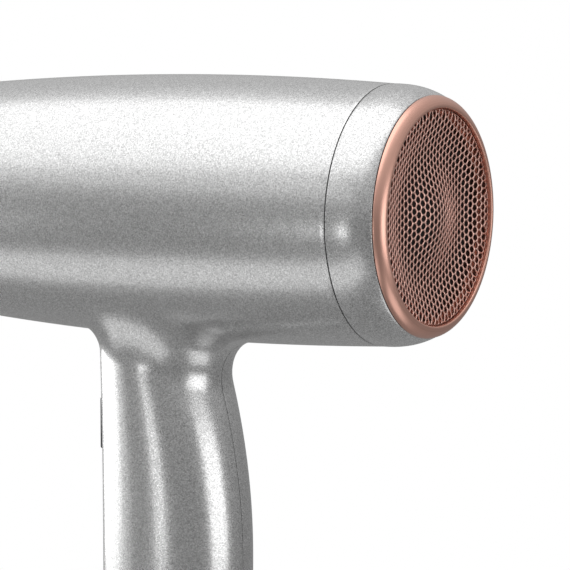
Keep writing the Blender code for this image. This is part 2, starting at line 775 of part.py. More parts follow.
def build_base():
    end = HANDLE_END
    stations = [(end, 0.0016), (end + 0.0005, 0.0007), (end + 0.0015, 0.0001), (end + CAP_HEIGHT, 0)]
    cap = loft("handle_base_cap", [handle_ring(z, inset) for z, inset in stations], "dark_plastic")
    collar_top = end + CAP_HEIGHT + CAP_COLLAR
    collar = loft("cap_collar", [handle_ring(z, WALL + GAP) for z in (end + 0.002, collar_top)])
    join(cap, collar)
    core = loft("cap_core", [handle_ring(z, 2 * WALL + GAP) for z in (end + 0.0028, collar_top + 0.002)])
    cut(cap, core)
    gland_outer = GLAND_BORE + GLAND_WALL
    flange = gland_outer + 0.0022
    below = (BASE_X, 0, end - 0.01)
    cut(cap, cylinder("gland_hole", below, (BASE_X, 0, end + 0.01), gland_outer + GAP))
    cut(cap, cylinder("gland_seat", below, (BASE_X, 0, end + 0.0013), flange + GAP))
    for side, sign in (("left", -1), ("right", 1)):
        spot = Vector((BASE_X, sign * BASE_SCREW_Y, end))
        up = Vector((0, 0, 0.001))
        head_seat = SCREW_HEAD_HEIGHT + 2 * GAP
        seat_top = spot + Vector((0, 0, head_seat))
        notch_foot = spot + Vector((0, 0, CAP_HEIGHT))
        cut(cap, cylinder(f"{side}_cap_drill", spot - 5 * up, spot + 8 * up, HOLE_RADIUS, sides=12))
        cut(cap, cylinder(f"{side}_cap_seat", spot - 5 * up, seat_top, SCREW_HEAD + GAP, sides=12))
        cut(cap, cylinder(f"{side}_cap_notch", notch_foot, spot + 20 * up, BOSS_RADIUS + GAP, sides=12))
        screw(f"base_screw_{side}", seat_top - Vector((0, 0, GAP)), (0, 0, -1), 0.009)
    gland = [
        (0.0045, GLAND_BORE),
        (0.0045, gland_outer + 0.0016),
        (0.0031, gland_outer + 0.0016),
        (0.0031, gland_outer),
        (0.0010, gland_outer),
        (0.0010, flange),
        (0.0, flange),
        (0.0, GLAND_BORE),
    ]
    turned("cord_gland", gland, "rubber", (BASE_X, 0, end), (0, 0, 1), 24)
    build_cord_clamp()


def build_cord_clamp():
    z = UNDERSIDE - CLAMP_DROP
    reach = CLAMP_SPACING / 2 + SCREW_HEAD + 0.001
    low, high = (BASE_X - reach, 0, z - 0.004), (BASE_X + reach, 0.0032, z + 0.004)
    clamp = box("cord_clamp", low, high, "black_nylon")
    ends = (BASE_X, -0.0008, z - 0.01), (BASE_X, -0.0008, z + 0.01)
    cut(clamp, cylinder("clamp_groove", *ends, 0.0026, sides=12))
    for i, sign in enumerate((-1, 1)):
        x = BASE_X + sign * CLAMP_SPACING / 2
        cut(clamp, cylinder(f"clamp_drill_{i + 1}", (x, -0.002, z), (x, 0.006, z), HOLE_RADIUS, sides=12))
        screw(f"clamp_screw_{i + 1}", (x, 0.0032 + GAP, z), (0, 1, 0), 0.0075)


def build_controls():
    flange_front = -HANDLE_FRONT + FLANGE_SETBACK
    flange_back = flange_front + FLANGE_THICKNESS
    switch_front = flange_back + BUTTON_TRAVEL + 0.0035
    middle = UNDERSIDE - BUTTON_DROP
    half_width = BUTTON_WIDTH / 2
    half_height = BUTTON_HEIGHT / 2
    button = box(
        "cool_shot_button",
        (-HANDLE_FRONT - BUTTON_PROUD, -half_width, middle - half_height),
        (flange_back - 0.0002, half_width, middle + half_height),
        "dark_plastic",
        0.0006,
    )
    flange = box(
        "button_flange",
        (flange_front, -half_width - FLANGE_MARGIN, middle - half_height - FLANGE_MARGIN),
        (flange_back, half_width + FLANGE_MARGIN, middle + half_height + FLANGE_MARGIN),
    )
    stem_end = switch_front - BUTTON_TRAVEL - GAP
    stem = cylinder("button_stem", (flange_front + 0.0005, 0, middle), (stem_end, 0, middle), 0.002, sides=12)
    join(button, flange, stem)
    return_spring(middle, flange_back + GAP, switch_front - GAP)
    depth = SWITCH_DEPTH
    half = SWITCH_HALF_WIDTH
    low, high = (switch_front, -half, middle - 0.008), (switch_front + depth, half, middle + 0.008)
    box("cool_shot_switch", low, high, "black_nylon")
    for name, drop in (("speed", SPEED_DROP), ("heat", HEAT_DROP)):
        build_slider(name, UNDERSIDE - drop, flange_front, flange_back)


def build_slider(name, middle, flange_front, flange_back):
    """A slide switch at the low end of its travel, with the switch body behind it."""
    low = middle - (SLIDER_HEIGHT + SLIDER_TRAVEL) / 2
    centre = low + SLIDER_HEIGHT / 2
    half_width = SLIDER_WIDTH / 2
    knob = box(
        f"{name}_slider",
        (-HANDLE_FRONT - SLIDER_PROUD, -half_width, low),
        (flange_back - 0.0002, half_width, low + SLIDER_HEIGHT),
        "dark_plastic",
        0.0005,
    )
    cover = box(
        f"{name}_flange",
        (flange_front, -half_width - FLANGE_MARGIN, low - 0.003),
        (flange_back, half_width + FLANGE_MARGIN, low + SLIDER_HEIGHT + 0.003),
    )
    switch_front = flange_back + 0.003
    tang_front = flange_front + 0.0005
    tang_back = switch_front - GAP
    tang = box(f"{name}_tang", (tang_front, -0.0015, centre - 0.002), (tang_back, 0.0015, centre + 0.002))
    join(knob, cover, tang)
    box(
        f"{name}_switch",
        (switch_front, -SWITCH_HALF_WIDTH, middle - 0.009),
        (switch_front + SWITCH_DEPTH, SWITCH_HALF_WIDTH, middle + 0.009),
        "black_nylon",
    )


def return_spring(z, front, rear):
    turns = 4
    per_turn = 10
    wire = 0.0003
    count = turns * per_turn + 1
    curve = bpy.data.curves.new("button_spring", "CURVE")
    curve.dimensions = "3D"
    curve.bevel_depth = wire
    curve.bevel_resolution = 0
    curve.use_fill_caps = True
    spline = curve.splines.new("POLY")
    spline.points.add(count - 1)
    for i, point in enumerate(spline.points):
        angle = 2 * math.pi * i / per_turn
        x = front + wire + (rear - front - 2 * wire) * i / (count - 1)
        point.co = (x, 0.0029 * math.sin(angle), z + 0.0029 * math.cos(angle), 1.0)
    obj = bpy.data.objects.new("button_spring", curve)
    curve.materials.append(finish("steel"))
    parts.objects.link(obj)


def build_circuit():
    back = CIRCUIT_Y - CIRCUIT_THICKNESS
    top = UNDERSIDE - 0.017
    bottom = UNDERSIDE - 0.090
    front = -HANDLE_FRONT + FLANGE_SETBACK + FLANGE_THICKNESS + 0.004
    board = box("control_board", (front, back, bottom), (0.012, CIRCUIT_Y, top), "circuit_board")
    for i, (x, z) in enumerate(CIRCUIT_SCREWS):
        ends = (x, back - 0.002, z), (x, CIRCUIT_Y + 0.002, z)
        cut(board, cylinder(f"board_drill_{i + 1}", *ends, HOLE_RADIUS, sides=12))
        screw(f"board_screw_{i + 1}", (x, CIRCUIT_Y + GAP, z), (0, 1, 0), 0.0065)
    start = CIRCUIT_Y + GAP
    middle = UNDERSIDE - 0.045
    low, high = (0.003, start, middle - 0.009), (0.0105, start + 0.011, middle + 0.009)
    box("suppression_capacitor", low, high, "capacitor_case", 0.0006)


clear_scene()
parts = new_collection("hair_dryer")
cutters = new_collection("cutters")
build_housing()
build_rear_cover()
build_outlet()
build_heater()
build_fan()
build_base()
build_controls()
build_circuit()
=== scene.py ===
import math

import bmesh
import bpy
from mathutils import Matrix, Vector


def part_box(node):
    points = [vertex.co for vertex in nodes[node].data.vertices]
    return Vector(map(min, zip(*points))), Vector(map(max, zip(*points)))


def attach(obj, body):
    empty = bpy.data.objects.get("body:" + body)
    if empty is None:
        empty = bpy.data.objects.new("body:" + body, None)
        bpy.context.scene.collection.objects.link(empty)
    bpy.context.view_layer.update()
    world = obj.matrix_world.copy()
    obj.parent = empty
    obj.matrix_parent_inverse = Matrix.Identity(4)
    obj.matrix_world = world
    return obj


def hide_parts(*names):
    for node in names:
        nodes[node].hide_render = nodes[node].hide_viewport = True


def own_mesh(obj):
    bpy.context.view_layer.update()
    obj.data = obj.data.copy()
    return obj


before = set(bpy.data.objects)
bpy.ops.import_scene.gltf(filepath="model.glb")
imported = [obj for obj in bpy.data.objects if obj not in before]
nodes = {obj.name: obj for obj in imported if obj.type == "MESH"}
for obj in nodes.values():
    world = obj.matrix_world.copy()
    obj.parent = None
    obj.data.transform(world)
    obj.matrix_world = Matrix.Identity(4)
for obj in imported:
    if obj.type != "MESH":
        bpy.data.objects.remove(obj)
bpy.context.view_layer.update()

tau = 2 * math.pi


def spread(first, last, count):
    return [first + (last - first) * i / (count - 1) for i in range(count)]


def finishPiece(name, bm, material, body, replaced=(), smoothAngle=35, recalc=True):
    if recalc:
        bmesh.ops.recalc_face_normals(bm, faces=bm.faces[:])
    for face in bm.faces:
        face.smooth = True
    limit = math.radians(smoothAngle)
    for edge in bm.edges:
        if len(edge.link_faces) == 2 and edge.calc_face_angle(0) > limit:
            edge.smooth = False
    mesh = bpy.data.meshes.new(name)
    bm.to_mesh(mesh)
    bm.free()
    piece = bpy.data.objects.new(name, mesh)
    bpy.context.scene.collection.objects.link(piece)
    mesh.materials.append(material)
    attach(piece, body)
    if replaced:
        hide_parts(*replaced)
    return piece


def turnProfile(points, closed=True, steps=160):
    # points are (x, radius) pairs about the barrel's axis
    bm = bmesh.new()
    verts = [bm.verts.new((x, 0, axisHeight + radius)) for x, radius in points]
    pairs = list(zip(verts, verts[1:] + verts[:1] if closed else verts[1:]))
    edges = [bm.edges.new(pair) for pair in pairs]
    bmesh.ops.spin(bm, geom=verts + edges, cent=(0, 0, axisHeight), axis=(1, 0, 0), angle=tau,
                   steps=steps, use_merge=True)
    bmesh.ops.remove_doubles(bm, verts=bm.verts[:], dist=1e-6)
    return bm


def roundCorner(before, corner, after, reach, count=4):
    # a corner of a profile made into a small arc
    before, corner, after = Vector(before), Vector(corner), Vector(after)
    start = corner + (before - corner).normalized() * reach
    end = corner + (after - corner).normalized() * reach
    return [tuple(start.lerp(corner, t).lerp(corner.lerp(end, t), t)) for t in spread(0, 1, count)]


def softProfile(points, reach, count=4):
    # each (x, radius) corner rounded, reach is one number or one for each corner
    soft = []
    for i, point in enumerate(points):
        size = reach[i] if isinstance(reach, (list, tuple)) else reach
        if size:
            soft += roundCorner(points[i - 1], point, points[(i + 1) % len(points)], size, count)
        else:
            soft.append(point)
    return soft


def addBlock(bm, low, high, bevel=0.0, segments=3):
    low, high = Vector(low), Vector(high)
    made = bmesh.ops.create_cube(bm, size=1)["verts"]
    bmesh.ops.scale(bm, vec=high - low, verts=made)
    bmesh.ops.translate(bm, vec=(low + high) / 2, verts=made)
    if bevel:
        edges = list({edge for vert in made for edge in vert.link_edges})
        bmesh.ops.bevel(bm, geom=edges, offset=bevel, offset_type="OFFSET", affect="EDGES", segments=segments,
                        profile=0.5, material=-1, clamp_overlap=True)


def applyModifiers(piece):
    graph = bpy.context.evaluated_depsgraph_get()
    mesh = bpy.data.meshes.new_from_object(piece.evaluated_get(graph), preserve_all_data_layers=True,
                                           depsgraph=graph)
    piece.modifiers.clear()
    piece.data = mesh


lowRing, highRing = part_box("copper_trim_ring")
lowLeft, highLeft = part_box("left_housing_half")
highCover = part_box("rear_cover")[1]
lowOutlet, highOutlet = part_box("outlet_ring")
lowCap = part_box("handle_base_cap")[0]
axisHeight = (lowRing.z + highRing.z) / 2
ringRadius = (highRing.z - lowRing.z) / 2
gap = 0.0003

barrel = {"crownRadius": highLeft.z - axisHeight, "crownX": 0.021, "curve": 0.53, "wall": 0.0022,
          "frontX": lowLeft.x, "rearX": highLeft.x, "stepsAround": 144, "stepLength": 0.0015, "frontRings": 30,
          "rearRings": 24}
handle = {"front": 0.0190, "rear": 0.0253, "halfWidth": 0.0189, "swellZ": -0.00107, "upperSwell": 2.92,
          "lowerSwell": 0.9, "power": 2.2, "bottomZ": lowLeft.z, "frontFillet": 0.0047, "rearFillet": 0.0165,
          "sideFillet": 0.0078, "filletFullness": 1.46, "patchLow": -0.0315, "patchHigh": 0.0405,
          "patchSteps": 24, "collarRings": 9, "filletRings": 15, "rings": 60}


def barrelRadius(x):
    return barrel["crownRadius"] - barrel["curve"] * (x - barrel["crownX"]) ** 2


def barrelPoint(x, angle):
    # angle is measured round the axis from straight down, towards +Y
    radius = barrelRadius(x)
    return Vector((x, radius * math.sin(angle), axisHeight - radius * math.cos(angle)))


def barrelUnder(x, y):
    return axisHeight - math.sqrt(barrelRadius(x) ** 2 - y * y)


def handlePoint(turn, z, outward=0.0):
    drop = z - handle["swellZ"]
    rear = handle["rear"] - (handle["upperSwell"] if drop > 0 else handle["lowerSwell"]) * drop * drop
    halfLength = (rear + handle["front"]) / 2
    middle = (rear - handle["front"]) / 2
    c, s = math.cos(turn), math.sin(turn)
    share = 2 / handle["power"]
    x = (halfLength + outward) * math.copysign(abs(c) ** share, c)
    y = (handle["halfWidth"] + outward) * math.copysign(abs(s) ** share, s)
    return Vector((middle + x, y, z))


def junctionCurve(turn):
    # the start on the barrel, the corner and the end on the handle of the fillet at this turn
    c, s = math.cos(turn), math.sin(turn)
    reach = handle["sideFillet"] * s * s + (handle["rearFillet"] if c > 0 else handle["frontFillet"]) * c * c
    z = axisHeight - handle["halfWidth"] * 1.9  # a first guess, put right by the loop
    for _ in range(6):
        corner = handlePoint(turn, z)
        z = barrelUnder(corner.x, corner.y)
    outer = handlePoint(turn, z, reach)
    start = Vector((outer.x, outer.y, barrelUnder(outer.x, outer.y)))
    step = 1e-5
    slopeX = (barrelUnder(start.x + step, start.y) - start.z) / step
    slopeY = (barrelUnder(start.x, start.y + step) - start.z) / step
    cornerZ = start.z + slopeX * (corner.x - start.x) + slopeY * (corner.y - start.y)
    corner = handlePoint(turn, cornerZ)
    length = (corner - start).length
    end = handlePoint(turn, cornerZ - length)
    return start, corner, end


def filletPoint(start, corner, end, t):
    weights = (1 - t) ** 2, handle["filletFullness"] * t * (1 - t), t * t
    return (start * weights[0] + corner * weights[1] + end * weights[2]) / sum(weights)


def shellSurface():
    # the barrel's skin and the handle's skin as one smooth surface
    low, high, step = handle["patchLow"], handle["patchHigh"], barrel["stepLength"]
    count = round((high - low) / step) + 1
    stations = spread(barrel["frontX"], low, barrel["frontRings"])[:-1] + spread(low, high, count)
    stations += spread(high, barrel["rearX"], barrel["rearRings"])[1:]
    bm = bmesh.new()
    verts = [bm.verts.new(barrelPoint(x, 0)) for x in stations]
    edges = [bm.edges.new(pair) for pair in zip(verts, verts[1:])]
    bmesh.ops.spin(bm, geom=verts + edges, cent=(0, 0, axisHeight), axis=(1, 0, 0), angle=tau,
                   steps=barrel["stepsAround"], use_merge=True)
    bmesh.ops.remove_doubles(bm, verts=bm.verts[:], dist=1e-6)
    widest = tau / barrel["stepsAround"] * handle["patchSteps"]

    def angleOf(co):
        return math.atan2(co.y, axisHeight - co.z)

    inside = []
    for face in bm.faces:
        co = face.calc_center_median()
        if low < co.x < high and abs(angleOf(co)) < widest:
            inside.append(face)
    bmesh.ops.delete(bm, geom=inside, context="FACES")
    loop = [edge for edge in bm.edges if edge.is_boundary and low - 1e-5 < edge.verts[0].co.x < high + 1e-5
            and low - 1e-5 < edge.verts[1].co.x < high + 1e-5]
    middle = (low + high) / 2
    state = {}
    for vert in {vert for edge in loop for vert in edge.verts}:
        angle = angleOf(vert.co)
        turn = math.atan2(angle / widest, (vert.co.x - middle) / (high - middle))
        state[vert] = (vert.co.x, angle, turn, junctionCurve(turn))

    def nextRing(moved):
        nonlocal loop, state
        made = bmesh.ops.extrude_edge_only(bm, edges=loop)["geom"]
        newVerts = [item for item in made if isinstance(item, bmesh.types.BMVert)]
        newEdges = [item for item in made if isinstance(item, bmesh.types.BMEdge)]
        fresh = {}
        for vert in newVerts:
            for edge in vert.link_edges:
                other = edge.other_vert(vert)
                if other in state:
                    fresh[vert] = state[other]
        for vert, facts in fresh.items():
            vert.co = moved(*facts)
        state = fresh
        loop = [edge for edge in newEdges if edge.verts[0] in fresh and edge.verts[1] in fresh]

    def ontoBarrel(share):
        def moved(x, angle, turn, curve):
            start = curve[0]
            startAngle = math.atan2(start.y, axisHeight - start.z)
            return barrelPoint(x + (start.x - x) * share, angle + (startAngle - angle) * share)
        return moved

    def ontoFillet(t):
        return lambda x, angle, turn, curve: filletPoint(*curve, t)

    def ontoHandle(share):
        def moved(x, angle, turn, curve):
            z = curve[2].z + (handle["bottomZ"] - curve[2].z) * share
            return handlePoint(turn, z)
        return moved

    for share in spread(0, 1, handle["collarRings"])[1:]:
        nextRing(ontoBarrel(share))
    for t in spread(0, 1, handle["filletRings"])[1:]:
        nextRing(ontoFillet(t))
    for share in spread(0, 1, handle["rings"])[1:]:
        nextRing(ontoHandle(share))
    bmesh.ops.recalc_face_normals(bm, faces=bm.faces[:])
    return bm


def newMaterial(name):
    material = bpy.data.materials.new(name)
    material.use_nodes = True
    tree = material.node_tree
    return material, tree, tree.nodes["Principled BSDF"]


def place(tree, kind, **values):
    # a node with its sockets and settings filled in
    node = tree.nodes.new(kind)
    for key, value in values.items():
        if hasattr(node, key):
            setattr(node, key, value)
        else:
            node.inputs[key.replace("_", " ")].default_value = value
    return node


def objectCoords(tree):
    return tree.nodes.new("ShaderNodeTexCoord").outputs["Object"]


def ramp(tree, source, stops):
    # stops are (position, colour or grey) pairs
    node = tree.nodes.new("ShaderNodeValToRGB")
    elements = node.color_ramp.elements
    while len(elements) < len(stops):
        elements.new(0.5)
    for element, (position, colour) in zip(elements, stops):
        element.position = position
        grey = isinstance(colour, (int, float))
        element.color = (colour, colour, colour, 1) if grey else (*colour, 1)
    tree.links.new(source, node.inputs["Fac"])
    return node.outputs["Color"]


def noise(tree, vector, scale, detail=2.0, roughness=0.5):
    node = place(tree, "ShaderNodeTexNoise", Scale=scale, Detail=detail, Roughness=roughness)
    tree.links.new(vector, node.inputs["Vector"])
    return node.outputs["Fac"]


def cells(tree, vector, scale):
    node = place(tree, "ShaderNodeTexVoronoi", Scale=scale)
    tree.links.new(vector, node.inputs["Vector"])
    return node.outputs["Color"]


def bump(tree, shader, height, distance, strength=1.0, coat=False):
    node = place(tree, "ShaderNodeBump", Strength=strength, Distance=distance)
    tree.links.new(height, node.inputs["Height"])
    tree.links.new(node.outputs["Normal"], shader.inputs["Coat Normal" if coat else "Normal"])


silverLook = {"dark": 0.30, "light": 0.70, "flakeScale": 4200, "flakeTilt": 0.000006, "metal": 0.9,
              "roughLow": 0.26, "roughHigh": 0.32, "coat": 0.4, "coatRoughness": 0.06}


def silverPaint():
    material, tree, shader = newMaterial("silverPaint")
    vector = objectCoords(tree)
    flakes = cells(tree, vector, silverLook["flakeScale"])
    tone = ramp(tree, flakes, [(0.1, silverLook["dark"]), (0.9, silverLook["light"])])
    tree.links.new(tone, shader.inputs["Base Color"])
    tilt = noise(tree, vector, silverLook["flakeScale"] * 0.6, 1)
    tree.links.new(ramp(tree, tilt, [(0.35, silverLook["roughLow"]), (0.65, silverLook["roughHigh"])]),
                   shader.inputs["Roughness"])
    bump(tree, shader, tilt, silverLook["flakeTilt"])
    shader.inputs["Metallic"].default_value = silverLook["metal"]
    shader.inputs["Coat Weight"].default_value = silverLook["coat"]
    shader.inputs["Coat Roughness"].default_value = silverLook["coatRoughness"]
    return material


copperLook = {"colour": (0.72, 0.42, 0.34), "worn": (0.60, 0.335, 0.265), "roughLow": 0.30, "roughHigh": 0.36}


def brushedCopper():
    # fine lines that run round the ring, from its turned face
    material, tree, shader = newMaterial("brushedCopper")
    coords = tree.nodes.new("ShaderNodeTexCoord")
    apart = tree.nodes.new("ShaderNodeSeparateXYZ")
    centre = place(tree, "ShaderNodeVectorMath", operation="SUBTRACT")
    centre.inputs[1].default_value = (0, 0, axisHeight)
    tree.links.new(coords.outputs["Object"], centre.inputs[0])
    tree.links.new(centre.outputs["Vector"], apart.inputs["Vector"])
    flat = tree.nodes.new("ShaderNodeCombineXYZ")
    tree.links.new(apart.outputs["Y"], flat.inputs["Y"])
    tree.links.new(apart.outputs["Z"], flat.inputs["Z"])
    radius = place(tree, "ShaderNodeVectorMath", operation="LENGTH")
    tree.links.new(flat.outputs["Vector"], radius.inputs[0])
    both = tree.nodes.new("ShaderNodeCombineXYZ")
    tree.links.new(radius.outputs["Value"], both.inputs["X"])
    tree.links.new(apart.outputs["X"], both.inputs["Y"])
    lines = noise(tree, both.outputs["Vector"], 9000, 3)
    tree.links.new(ramp(tree, lines, [(0.3, copperLook["worn"]), (0.7, copperLook["colour"])]),
                   shader.inputs["Base Color"])
    tree.links.new(ramp(tree, lines, [(0.3, copperLook["roughLow"]), (0.7, copperLook["roughHigh"])]),
                   shader.inputs["Roughness"])
    bump(tree, shader, lines, 0.0000015)
    shader.inputs["Metallic"].default_value = 1.0
    return material


def plainFinish(name, dark, light, scale, metal=0.0, rough=(0.4, 0.55), depth=0.00001, shine=0.5):
    # a two-tone grained finish, used for the plastics, metals and boards
    material, tree, shader = newMaterial(name)
    vector = objectCoords(tree)
    grain = noise(tree, vector, scale, 4, 0.6)
    tree.links.new(ramp(tree, grain, [(0.35, dark), (0.65, light)]), shader.inputs["Base Color"])
    tree.links.new(ramp(tree, grain, [(0.3, rough[0]), (0.7, rough[1])]), shader.inputs["Roughness"])
    bump(tree, shader, grain, depth)
    shader.inputs["Metallic"].default_value = metal
    shader.inputs["Specular IOR Level"].default_value = shine
    return material


silver = silverPaint()
copper = brushedCopper()
meshCopper = plainFinish("meshCopper", (0.64, 0.37, 0.31), (0.88, 0.57, 0.49), 1800, 1.0, (0.26, 0.38),
                         0.000004)
darkPlastic = plainFinish("darkPlastic", (0.012, 0.012, 0.013), (0.028, 0.028, 0.030), 2600, 0.0, (0.50, 0.64),
                          0.00002, 0.2)
finishes = {
    "silver_paint": silver,
    "copper_trim": copper,
    "copper_mesh": meshCopper,
    "dark_plastic": darkPlastic,
    "black_nylon": plainFinish("blackNylon", (0.010, 0.010, 0.011), (0.022, 0.022, 0.024), 900,
                               0.0, (0.35, 0.5)),
    "filter_fabric": plainFinish("filterFabric", (0.004, 0.002, 0.002), (0.012, 0.007, 0.006), 4200,
                                 0.0, (0.85, 0.98), 0.00005),
    "mica": plainFinish("mica", (0.42, 0.33, 0.22), (0.62, 0.52, 0.38), 260, 0.0, (0.3, 0.5)),
    "heating_wire": plainFinish("heatingWire", (0.32, 0.28, 0.25), (0.52, 0.46, 0.42), 1500,
                                1.0, (0.3, 0.45), 0.000004),
    "steel": plainFinish("brightSteel", (0.46, 0.46, 0.47), (0.64, 0.64, 0.65), 1400,
                         1.0, (0.25, 0.38), 0.000004),
    "bronze": plainFinish("bearingBronze", (0.42, 0.28, 0.13), (0.58, 0.41, 0.20), 1400,
                          1.0, (0.35, 0.5), 0.000006),
    "ferrite": plainFinish("ferrite", (0.030, 0.030, 0.032), (0.070, 0.070, 0.074), 1200, 0.0, (0.55, 0.7)),
    "circuit_board": plainFinish("circuitBoard", (0.010, 0.075, 0.030), (0.020, 0.120, 0.050), 420,
                                 0.0, (0.3, 0.45)),
    "capacitor_case": plainFinish("capacitorCase", (0.020, 0.025, 0.10), (0.035, 0.045, 0.17), 500,
                                  0.0, (0.3, 0.45)),
    "rubber": plainFinish("rubber", (0.014, 0.014, 0.014), (0.030, 0.030, 0.030), 1600,
                          0.0, (0.6, 0.8), 0.00003),
}
print("materials made")

controls = {"buttonHalfWidth": 0.0050, "buttonLow": 0.0284, "buttonHigh": 0.0435, "buttonFront": -0.0207,
            "sliderHalfWidth": 0.0036, "knobHeight": 0.0090, "travelHeight": 0.0150, "speedMiddle": 0.01193,
            "heatMiddle": -0.01307, "softEdge": 0.0006, "flangeFront": -0.0158, "buttonFlangeBack": -0.0140,
            "knobFlangeBack": -0.0146, "ridgePitch": 0.0014, "ridgeHalfHeight": 0.0003, "ridgeDepth": 0.0008}
housing = {"cutFront": -0.03, "cutBack": -0.0125, "openingRound": 0.0012, "edgeRound": 0.00018}


def makeHousing():
    surface = shellSurface()
    bmesh.ops.bisect_plane(surface, geom=surface.verts[:] + surface.edges[:] + surface.faces[:], dist=1e-7,
                           plane_co=(0, -gap / 2, 0), plane_no=(0, 1, 0), clear_outer=True)
    cutters = bmesh.new()
    front, back, soft = housing["cutFront"], housing["cutBack"], housing["openingRound"]
    addBlock(cutters, (front, -controls["buttonHalfWidth"] - gap, controls["buttonLow"] - gap),
             (back, controls["buttonHalfWidth"] + gap, controls["buttonHigh"] + gap), soft)
    for middle in (controls["speedMiddle"], controls["heatMiddle"]):
        half = controls["travelHeight"] / 2
        wide = controls["sliderHalfWidth"] + gap
        addBlock(cutters, (front, -wide, middle - half), (back, wide, middle + half), soft)
    cutterMesh = bpy.data.meshes.new("openings")
    cutters.to_mesh(cutterMesh)
    cutters.free()
    cutter = bpy.data.objects.new("openings", cutterMesh)
    bpy.context.scene.collection.objects.link(cutter)
    for name, turned in (("left_housing_half", False), ("right_housing_half", True)):
        bm = surface.copy()
        if turned:
            bmesh.ops.scale(bm, vec=(1, -1, 1), verts=bm.verts[:])
            bmesh.ops.reverse_faces(bm, faces=bm.faces[:])
        piece = finishPiece(name.replace("_half", "_shell"), bm, silver, "dryer", [name],
                            recalc=False)
        solidify = piece.modifiers.new("wall", "SOLIDIFY")
        solidify.thickness = barrel["wall"]
        solidify.offset = -1
        solidify.use_even_offset = True
        holes = piece.modifiers.new("openings", "BOOLEAN")
        holes.object = cutter
        holes.solver = "EXACT"
        edges = piece.modifiers.new("edges", "BEVEL")
        edges.width = housing["edgeRound"]
        edges.segments = 2
        edges.limit_method = "ANGLE"
        edges.angle_limit = math.radians(50)
        applyModifiers(piece)
    surface.free()
    bpy.data.objects.remove(cutter)
    print("housing shells made")


makeHousing()

cover = {"drop": 0.0029, "power": 2.6, "wall": 0.0018, "skirt": 0.0020, "lip": 0.00028, "seamRound": 0.00018,
         "seamStart": 0.0002, "frontTaper": 0.004, "rearTaper": 0.003}


def makeCover():
    start = highLeft.x + gap
    end = highCover.x
    seamRadius = barrelRadius(start)
    rim = seamRadius - cover["drop"]
    bore = seamRadius - barrel["wall"] - gap
    lipBore = rim - cover["wall"] + gap
    outer = [(x, seamRadius - cover["drop"] * ((x - start) / (end - start)) ** cover["power"])
             for x in spread(end - cover["lip"], start + cover["seamStart"], 36)]
    points = [(end, lipBore)]
    points += roundCorner((end, lipBore), (end, rim), outer[0], cover["lip"], 5)[:-1]
    points += outer
    points += roundCorner(outer[-1], (start, seamRadius), (start, bore), cover["seamRound"], 3)[1:]
    points += [(start, bore), (start - cover["skirt"], bore), (start - cover["skirt"], bore - cover["wall"]),
               (start + cover["frontTaper"], bore - cover["wall"]), (end - cover["rearTaper"], lipBore)]
    return finishPiece("rear_cover_shell", turnProfile(points, steps=192), silver, "rear_cover",
                       ["rear_cover"])


makeCover()

ring = {"width": 0.0035, "edge": 0.0005, "power": 1.7, "ledge": 0.0012, "seat": 0.0011, "faceSteps": 40}


def makeRing():
    back = highCover.x + gap
    rise = highRing.x - back
    outside = ringRadius
    inside = outside - ring["width"]
    crest = inside + ring["edge"]
    points = [(back - ring["seat"], inside)]
    points += roundCorner((back, inside), (highRing.x, inside), (highRing.x, crest), ring["edge"], 6)
    for i in range(1, ring["faceSteps"] + 1):
        angle = math.pi / 2 * (1 - i / ring["faceSteps"])
        up = max(math.sin(angle), 0) ** (2 / ring["power"])
        across = max(math.cos(angle), 0) ** (2 / ring["power"])
        points.append((back + rise * up, crest + (outside - crest) * across))
    sleeve = barrelRadius(highLeft.x + gap) - cover["drop"] - cover["wall"]
    points += [(back, sleeve), (lowRing.x, sleeve), (lowRing.x, inside - ring["ledge"]),
               (back - ring["seat"], inside - ring["ledge"])]
    return finishPiece("copper_ring", turnProfile(points, steps=192), copper, "rear_cover",
                       ["copper_trim_ring"])


makeRing()
print("cover and ring made")

lowInlet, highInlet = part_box("inlet_mesh")
inletMesh = {"pitch": 0.0021, "wire": 0.00015, "thickness": 0.00060, "dome": 0.0027, "lip": 0.0020,
             "valleyShare": 0.57, "valleyHeight": 0.0008, "seat": 0.0036}


